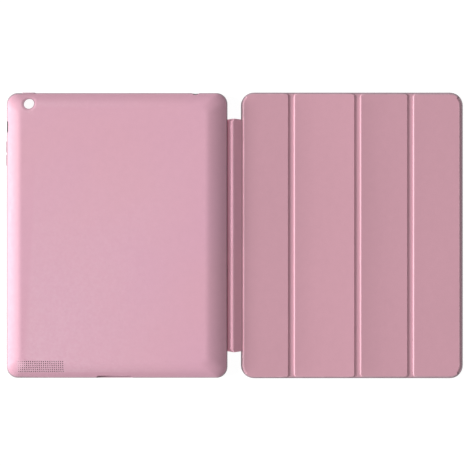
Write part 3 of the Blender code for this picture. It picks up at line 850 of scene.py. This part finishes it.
def shell_wear(places):
    """Wear along the shoulder and just outside the rim of the camera hole; paler and smoother all over the grille.
    """
    insets = np.array([shell_inset(x, y) for x, y, z in places])
    worn = soft_line(insets, SHOULDER_WEAR) + camera_ring(places, CAMERA_WEAR)
    return np.where(over_grille(places), 1.0, worn)


def shell_rim_shade(places):
    """Painted shade: the outermost part of the shell's edge greyed, less so low on the wall, and the rim of the
    camera hole.
    """
    insets, heights = zip(*reversed(OUTER_SECTION))
    section_insets = np.interp(-places[:, 2], [-height for height in heights], insets)
    widths = np.where(places[:, 0] < SKIN_LOW.x + EDGE_WIDTH, LEFT_RIM_SHADE_WIDTH, RIM_SHADE_WIDTH)
    height, fade, loss = RIM_SHADE_FOOT
    kept = 1 - loss * clamp((height - places[:, 2]) / fade)
    edge = kept * clamp((widths - section_insets) / RIM_SHADE_FADE)
    return np.maximum(edge, camera_ring(places, CAMERA_RIM_SHADE))


def shell_end_shade(places):
    """Painted shade: darker towards the two ends, beyond the flat."""
    ends = np.minimum(SKIN_HIGH.y - places[:, 1], places[:, 1] - SKIN_LOW.y)
    return END_SHADE * clamp(1 - ends / END_SHADE_RUN)


def build_shell():
    """Skin, core and lining of the back shell."""
    section = [(0.0, height) for height in SKIN_WALL_HEIGHTS] + OUTER_SECTION
    skin = shell_layer("back_skin", BACK_SKIN_LIT, section, SKIN)
    tools = side_tools("back_skin", 0.0) + [grille_tool("back_skin_speaker", GRILLE_SINK)]
    finish_shell_layer(skin, tools, "shell_skin")
    for name, measure in (("wear", shell_wear), ("rim", shell_rim_shade), ("tone", shell_end_shade)):
        paint(skin, name, measure)
    shade_openings(skin)

    foot = [(LIP_INSET, 0.0), (LIP_INSET - LIP_ROUNDING, 0.0)]
    foot += [(CORE_INSET + LIP_ROUNDING, 0.0), (CORE_INSET, LIP_ROUNDING)]
    core = shell_layer("back_core", CORE_PLASTIC, foot + edge_section(CORE_INSET), CORE)
    tools = side_tools("back_core", CORE_SETBACK) + [grille_tool("back_core_speaker", GRILLE_CORE_SINK)]
    finish_shell_layer(core, tools, "shell_core")
    shade_openings(core)

    section = edge_section(SHELL_LINING_INSET)[SHOULDER_STEPS:]
    lining = shell_layer("back_lining", MICROFIBRE, section, LINING)
    half = [(size + 2 * CORE_SETBACK) / 2 for size in GRILLE_SIZE]
    low = (GRILLE.x - half[0], GRILLE.y - half[1])
    high = (GRILLE.x + half[0], GRILLE.y + half[1])
    heights = (SHELL_HEIGHT - CUT_DEPTH - CUT_CLEAR, SHELL_HEIGHT + CUT_CLEAR)
    rings = [rounded_outline(low, high, WINDOW_CORNER, z, WINDOW_CORNER_STEPS) for z in heights]
    tools = [
        round_tool("back_lining_camera", CAMERA_RADIUS + 2 * CORE_SETBACK, FACE_UP, CAMERA_MOUTH),
        tool(loft(rings, cap_first=True), "back_lining_speaker"),
    ]
    finish_shell_layer(lining, tools, "shell_lining")


def build_pads():
    """Crowned round-ended pads over the buttons."""
    for pad in PADS:
        width, height = pad["size"]
        short = min(width, height)
        profile = PAD_FOOT + PAD_EDGE + tuple((short * share, z) for share, z in PAD_TOP)
        rings = []
        for inset, z in profile:
            rings.append(slot_outline(width, height, inset, (short / 2 - inset) * SLOT_ROUNDNESS, z))
        name = pad["body"] + "_cap"
        mesh = solid_mesh(loft(rings, cap_first=True), name, pad["turn"], pad["place"])
        cap = link(name, mesh, BACK_SKIN_LIT)
        smooth(cap)
        paint(cap, "wear", lambda places: np.full(len(places), PAD_WEAR))
        # painted shade greying the whole pad
        paint(cap, "rim", lambda places: np.full(len(places), PAD_RIM_SHADE))
        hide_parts(pad["node"])
        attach(cap, pad["body"])


# ---------- cover


def steps_between(start, end, fine, coarse, edge):
    """Places from start to end: fine steps within an edge's width of both ends, coarse ones between."""
    near = np.arange(0.0, edge, fine)
    count = max(2, round((end - start - 2 * edge) / coarse))
    middle = np.linspace(start + edge, end - edge, count + 1)
    return np.concatenate([start + near, middle, (end - near)[::-1]])


def steps_along(steps):
    """Places along the cover, from one end to the other."""
    return steps_between(-COVER_END, COVER_END, *steps)


def panel_edges(number):
    """Where a panel starts and ends in X: at the cover's edge or at a fold's bending strip."""
    low = COVER_LEFT if number == 1 else FOLDS[number - 2] + STRIP_HALF
    high = COVER_RIGHT if number == 4 else FOLDS[number - 1] - STRIP_HALF
    return low, high


def fold_inset(number, x):
    """Distance in from the nearest of a panel's fold lines."""
    low, high = panel_edges(number)
    return np.minimum(x - low if number > 1 else FAR, high - x if number < 4 else FAR)


def corner_offsets(number, x, y):
    """How far places lie beyond the centre of the cover's nearest own corner, in X and in Y."""
    low, high = panel_edges(number)
    beyond_left, beyond_right = low + COVER_CORNER - x, x - high + COVER_CORNER
    across = {1: beyond_left, 4: beyond_right}.get(number, np.full_like(x, -FAR))
    return across, np.abs(y) - COVER_END + COVER_CORNER


def outer_inset(number, x, y):
    """Distance in from the cover's own edge, as if its corners were square."""
    across, along = corner_offsets(number, x, y)
    return COVER_CORNER - np.maximum(across, along)


def corner_inset(number, x, y):
    """Distance in from the cover's own edge, with its corners round."""
    across, along = corner_offsets(number, x, y)
    rounded = COVER_CORNER - np.hypot(across, along)
    return np.where((across > 0) & (along > 0), rounded, outer_inset(number, x, y))


def round_corners(number, x, y):
    """Grid places of a panel, pulled in onto the cover's round corners."""
    across, along = corner_offsets(number, x, y)
    inside = (across > 0) & (along > 0)
    length = np.where(inside, np.hypot(across, along), 1.0)
    pull = np.where(inside, np.maximum(across, along) / length - 1, 0.0)
    outwards = -1 if number == 1 else 1
    return x + pull * across * outwards, y + pull * along * np.sign(y)


def raised_share(number, x, y):
    """How far up the rise to the panel's raised part a place is, from 0 at its foot to 1 at its top."""
    low, high = panel_edges(number)
    left_rise = LEFT_RISE if number == 1 else FOLD_RISE
    right_rise = RIGHT_RISE if number == 4 else FOLD_FALL
    left = x - low - left_rise[0]
    right = high - x - right_rise[0]
    pull = clamp(1 - fold_inset(number, x) / GROOVE_PULL_REACH) ** 2
    end = COVER_END - np.abs(y) - END_RISE[0] - GROOVE_PULL * pull
    share = np.minimum(np.minimum(left / left_rise[1], right / right_rise[1]), end / END_RISE[1])
    for side, is_fold in ((left, number > 1), (right, number < 4)):
        if is_fold:
            near = (side < GROOVE_CORNER) & (end < GROOVE_CORNER)
            rounded = GROOVE_CORNER - np.hypot(GROOVE_CORNER - side, GROOVE_CORNER - end)
            share = np.where(near, np.minimum(share, rounded / FOLD_RISE[1]), share)
    return share


def panel_top(number, x, y):
    """Height of a panel's outer skin: a flange, an S-shaped rise, and a flat that lifts towards its left."""
    low = panel_edges(number)[0]
    lift = clamp(1 - (x - low) / PANEL_LIFT_RUN) ** 2
    end_fade = clamp((COVER_END - np.abs(y)) / PANEL_LIFT_END)
    flat = COVER_TOP - PANEL_DIP + PANEL_LIFT[number - 1] * lift * end_fade
    return FLANGE_TOP + (flat - FLANGE_TOP) * ease(raised_share(number, x, y))


def edge_share(number, x, y, width):
    """1 at the cover's own edge, falling in a curve to 0 at a width in from it."""
    return clamp(1 - outer_inset(number, x, y) / width) ** 2


def paint_panel(skin, number):
    """Wear along the top of each rise, painted shade at the cover's edge, and painted shade and highlights as a
    change of tone.
    """
    low, high = panel_edges(number)

    def wear(places):
        return soft_line(raised_share(number, places[:, 0], places[:, 1]), RISE_WEAR)

    # painted shade along the cover's outer edge, widening panel by panel, none where panel 1 joins the spine
    def rim(places):
        width = COVER_RIM_SHADE[1] + COVER_RIM_SHADE_GROWTH * (number - 1)
        edge = (width - corner_inset(number, places[:, 0], places[:, 1])) / (width - COVER_RIM_SHADE[0])
        joined = (np.abs(places[:, 1]) < SPINE_END) & (places[:, 0] < COVER_LEFT + COVER_RIM_SHADE[1])
        return np.where(joined, 0.0, edge)

    # painted shade: each panel darker at its left, lighter to its right
    def shade(places):
        first, last = PANEL_SHADES[number - 1]
        painted_light = first + (last - first) * ((places[:, 0] - low) / (high - low))
        # painted highlights: two lighter lines along panel 1's left rise, near the spine
        if number == 1:
            beyond, run = JOINED_EDGE_HIGHLIGHT_FADE
            near = clamp((SPINE_END + beyond - np.abs(places[:, 1])) / run)
            for line in JOINED_EDGE_HIGHLIGHTS:
                painted_light = painted_light + near * soft_line(places[:, 0] - low, line)
        return painted_light

    for name, measure in (("wear", wear), ("rim", rim), ("tone", shade)):
        paint(skin, name, measure)


def panel_sheet(number, kind, x, y, top_z, bottom_z, finish):
    """A panel's skin or lining over a grid of places, glued to the panel's board."""
    x, y = round_corners(number, x, y)
    top = np.stack([x, y, top_z], axis=-1)
    bottom = np.stack([x, y, bottom_z], axis=-1)
    sheet = closed_sheet("cover_%s_%d" % (kind, number), top, bottom, finish, PANEL_ANGLE)
    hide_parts("panel_%d_%s" % (number, kind))
    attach(sheet, "panel_%d" % number)
    return sheet


def build_panel(number):
    """The outer skin and the lining of one panel."""
    low, high = panel_edges(number)
    x, y = np.meshgrid(steps_between(low, high, *PANEL_SKIN_STEPS), steps_along(PANEL_SKIN_STEPS))
    edge = edge_share(number, x, y, EDGE_ROUNDING)
    top = panel_top(number, x, y) - edge * EDGE_ROUNDING
    bottom = top - SKIN + edge * EDGE_ROUNDING * EDGE_UNDERCUT
    paint_panel(panel_sheet(number, "skin", x, y, top, bottom, COVER_SKIN_SHADED), number)

    across = steps_between(low, high, *LINING_STEPS_ACROSS)
    across = np.sort(np.concatenate([across, low + LINING_CORNER_STEPS, high - LINING_CORNER_STEPS]))
    ends = LINING_CORNER_STEPS - COVER_END
    along = np.sort(np.concatenate([steps_along(LINING_STEPS_ALONG), ends, -ends]))
    x, y = np.meshgrid(across, along)
    edge = edge_share(number, x, y, LINING_EDGE)
    fold = clamp(1 - fold_inset(number, x) / LINING_FOLD_RUN) ** 2
    top = COVER_LINING - edge * LINING_EDGE_DROP
    bottom = edge * LINING_EDGE_RISE + fold * LINING_GROOVE
    panel_sheet(number, "lining", x, y, top, bottom, MICROFIBRE)


def fold_sheet(number, kind, x, y, top_z, bottom_z, finish):
    """A strip of skin or lining across one fold line."""
    fold_x = FOLDS[number - 1]
    top = np.stack([x + fold_x, y, top_z], axis=-1)
    bottom = np.stack([x + fold_x, y, bottom_z], axis=-1)
    strip = closed_sheet("fold_%s_%d" % (kind, number), top, bottom, finish, BEND_ANGLE)
    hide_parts("fold_%d_%s_strip" % (number, kind))
    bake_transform(strip)
    return strip


def build_fold(number):
    """The strips of skin and lining at one fold line."""
    fold_x = FOLDS[number - 1]
    x, y = np.meshgrid(np.linspace(-STRIP_HALF, STRIP_HALF, STRIP_COLUMNS), steps_along(STRIP_STEPS))
    inset = COVER_END - np.abs(y)
    valley = (1 - (x / STRIP_HALF) ** 2) ** 2
    dip, dip_start, dip_run = STRIP_DIP
    inner = clamp((inset - dip_start) / dip_run)
    edge = clamp(1 - inset / EDGE_ROUNDING) ** 2
    top = FLANGE_TOP - valley * inner * dip - edge * EDGE_ROUNDING
    bottom = FLANGE_TOP - SKIN + valley * STRIP_THINNING
    strip = fold_sheet(number, "skin", x, y, top, bottom, COVER_SKIN_SHADED)
    paint(strip, "wear", lambda places: soft_line(places[:, 0] - fold_x, STRIP_WEAR))
    # painted shade at the strip's two ends, where it meets the cover's outer edge
    rim_shade_start = COVER_END - COVER_RIM_SHADE[1]
    paint(strip, "rim", lambda places: (np.abs(places[:, 1]) - rim_shade_start) / STRIP_RIM_SHADE_FADE)

    edge = clamp(1 - inset / LINING_EDGE) ** 2
    top = COVER_LINING - edge * LINING_EDGE_DROP
    bottom = LINING_GROOVE + valley * STRIP_GROOVE + edge * STRIP_EDGE_RISE
    fold_sheet(number, "lining", x, y, top, bottom, MICROFIBRE)


# ---------- spine


def spine_outer_path():
    """The spine's outer side as points of (x, z): it bulges up from the shell's wall to a crest."""
    start = Vector((SPINE_START, SPINE_FOOT))
    crest = Vector(SPINE_CREST)
    far_hinge = Vector((COVER_HINGE.x, COVER_HINGE.z + SPINE_HINGE_LIFT))
    after = crest + (far_hinge - crest).normalized() * CREST_ROUNDING
    bulge, bend, fall = SPINE_STEPS
    path = []
    for share in (np.linspace(0.0, BULGE_END, bulge) ** BULGE_CROWDING).tolist():
        rise = 1 - (1 - share) ** SPINE_FULLNESS
        path.append(Vector((start.x + (crest.x - start.x) * share, start.y + (crest.y - start.y) * rise)))
    last = path[-1]
    for share in np.linspace(0.0, 1.0, bend)[1:].tolist():
        path.append(last.lerp(crest, share).lerp(crest.lerp(after, share), share))
    path += [after.lerp(far_hinge, share) for share in np.linspace(0.05, 1.0, fall).tolist()]
    path.append(Vector((COVER_LEFT, FLANGE_TOP)))
    return path


def spine_inner_path(outer):
    """The spine's inner side, with a point for each one of the outer side."""
    hinge = Vector((SHELL_HINGE.x + SPINE_HINGE_GAPS[0], 2 * SPINE_LINING_FOOT))
    crease = Vector(SPINE_INNER_CREASE)
    far_hinge = Vector((COVER_HINGE.x - SPINE_HINGE_GAPS[1], 2 * SPINE_LINING_FOOT))
    rising = min(range(len(outer)), key=lambda i: abs(outer[i].x - SPINE_CREST[0]))
    falling = len(outer) - 1 - rising
    path = [Vector((SPINE_START, SPINE_LINING_FOOT))]
    path += [hinge.lerp(crease, share) for share in np.linspace(0.0, 1.0, rising).tolist()]
    path += [crease.lerp(far_hinge, share) for share in np.linspace(0.0, 1.0, falling)[1:].tolist()]
    path.append(Vector((COVER_LEFT, SPINE_LINING_FOOT)))
    return path


def offset_path(points, distance):
    """A path moved to its inner side, at each point along the mean of its two neighbours' directions."""
    moved = []
    for i, point in enumerate(points):
        before = points[max(0, i - 1)]
        after = points[min(len(points) - 1, i + 1)]
        direction = (after - before).normalized()
        moved.append(point + distance * Vector((direction.y, -direction.x)))
    return moved


def loose_share(x):
    """How free the spine's skin is to wave: not at all at the hinges, and fully at the crest."""
    left = (x - SKIN_HIGH.x) / (SPINE_CREST[0] - SKIN_HIGH.x)
    right = (COVER_LEFT - x) / (COVER_LEFT - SPINE_CREST[0])
    return clamp(np.minimum(left, right)) ** LOOSENESS


def spine_sheet(name, upper, lower, pinch, half_length, finish):
    """A closed sheet between two paths, drawn out along Y. Its ends are pinched towards the lining."""
    upper, lower, pinch = (np.array([(p.x, p.y) for p in path]) for path in (upper, lower, pinch))
    middle = (upper + lower) / 2
    tops, bottoms = [], []
    for y in steps_between(-half_length, half_length, *SPINE_STEPS_ALONG):
        inside = half_length - abs(y)
        keep = 0.5 + 0.5 * min(1.0, inside / SPINE_END_ROUNDING)
        drop = pinch * (1 - min(1.0, inside / SPINE_PINCH)) ** 2
        wave = sum(height * math.sin(y * turns + lead) for height, turns, lead in SPINE_WAVES)
        heave = np.stack([np.zeros(len(upper)), wave * loose_share(upper[:, 0])], axis=-1)
        for side, rows in ((upper, tops), (lower, bottoms)):
            rows.append([(x, y, z) for x, z in middle + (side - middle) * keep + drop + heave])
    return closed_sheet(name, np.array(tops), np.array(bottoms), finish, BEND_ANGLE)


def build_spine():
    """The spine's skin and lining, each in three pieces, one over each hinge, that meet between hinges."""
    outer = spine_outer_path()
    inner = spine_inner_path(outer)
    skin_under = offset_path(outer, SPINE_SHEET)
    lining_over = offset_path(inner, -SPINE_SHEET)
    gap = [over - under for over, under in zip(lining_over, skin_under)]
    still = [Vector((0.0, 0.0))] * len(outer)
    first_cut, second_cut = (next(i for i, p in enumerate(outer) if p.x > x) for x in (FIRST_CUT, SECOND_CUT))
    spans = (
        ("shell", slice(0, first_cut + 1), ("shell", "spine_inner"), SHELL_HINGE),
        ("crease", slice(first_cut, second_cut + 1), ("spine_inner", "spine_outer"), CREASE),
        ("cover", slice(second_cut, len(outer)), ("spine_outer", "panel_1"), COVER_HINGE),
    )
    lining_half = SPINE_END - SPINE_LINING_SETBACK
    layers = (
        ("skin", outer, skin_under, gap, SPINE_END, SPINE_SKIN_LIT),
        ("lining", lining_over, inner, still, lining_half, MICROFIBRE),
    )
    halves = {"shell": "spine_inner_", "cover": "spine_outer_"}
    for kind, upper, lower, pinch, half_length, finish in layers:
        for part, span, bodies, hinge in spans:
            name = "spine_%s_%s" % (kind, part)
            sheet = spine_sheet(name, upper[span], lower[span], pinch[span], half_length, finish)
            if kind == "skin":
                paint(sheet, "wear", lambda places: soft_line(places[:, 0], CREST_WEAR))
                # painted light in the valley by the shell's wall
                paint(sheet, "tone", lambda places: soft_line(places[:, 0], VALLEY_LIGHT))
            if part in halves:
                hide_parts(halves[part] + kind)
            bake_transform(sheet)


# ---------- hidden pieces, floor, light and camera


def finish_hidden_nodes():
    """Materials for the boards, magnets and keeper strip, which keep the frame's own shapes."""
    for name, node in frame["nodes"].items():
        is_board = name.endswith("_board")
        if is_board or "magnet" in name or name == "keeper_strip":
            node.data.materials.clear()
            node.data.materials.append(FIBRE_BOARD if is_board else PLATED_STEEL)


def build_floor():
    """A white floor just under the case."""
    mesh = bpy.data.meshes.new("floor")
    corners = [(x * FLOOR_HALF, y * FLOOR_HALF, 0.0) for x, y in ((-1, -1), (1, -1), (1, 1), (-1, 1))]
    mesh.from_pydata(corners, [], [(0, 1, 2, 3)])
    floor = link("floor", mesh, FLOOR)
    floor.location.z = -FLOOR_DROP


def build_light():
    """Low soft light from the left, and a sky that is brighter overhead than at its rim."""
    key = bpy.data.lights.new("window_light", "SUN")
    key.energy = KEY_STRENGTH
    key.angle = KEY_SPREAD
    lamp = add_object("window_light", key)
    travel = Vector((
        math.cos(KEY_ELEVATION) * math.cos(KEY_AZIMUTH),
        -math.cos(KEY_ELEVATION) * math.sin(KEY_AZIMUTH),
        -math.sin(KEY_ELEVATION),
    ))
    lamp.rotation_euler = travel.to_track_quat("-Z", "Y").to_euler()

    world = Nodes("studio", bpy.data.worlds, "Background")
    up = world.add("ShaderNodeSeparateXYZ", {"Vector": world.places["Generated"]}).outputs["Z"]
    strength = world.math("MULTIPLY_ADD", world.times(up, up), *SKY_STRENGTHS)
    bpy.context.scene.world = world.shade(Color=WHITE, Strength=strength)


def build_camera():
    """A camera straight above the case."""
    camera = bpy.data.cameras.new("camera")
    camera.sensor_width = SENSOR
    camera.lens = SENSOR * VIEW_HEIGHT / VIEW_WIDTH
    holder = add_object("camera", camera)
    holder.location = (*VIEW_CENTRE, VIEW_HEIGHT)
    bpy.context.scene.camera = holder
    bpy.context.scene.view_settings.view_transform = "Standard"


build_shell()
build_pads()
for panel in range(1, 5):
    build_panel(panel)
for fold in range(1, 4):
    build_fold(fold)
build_spine()
finish_hidden_nodes()
build_floor()
build_light()
build_camera()
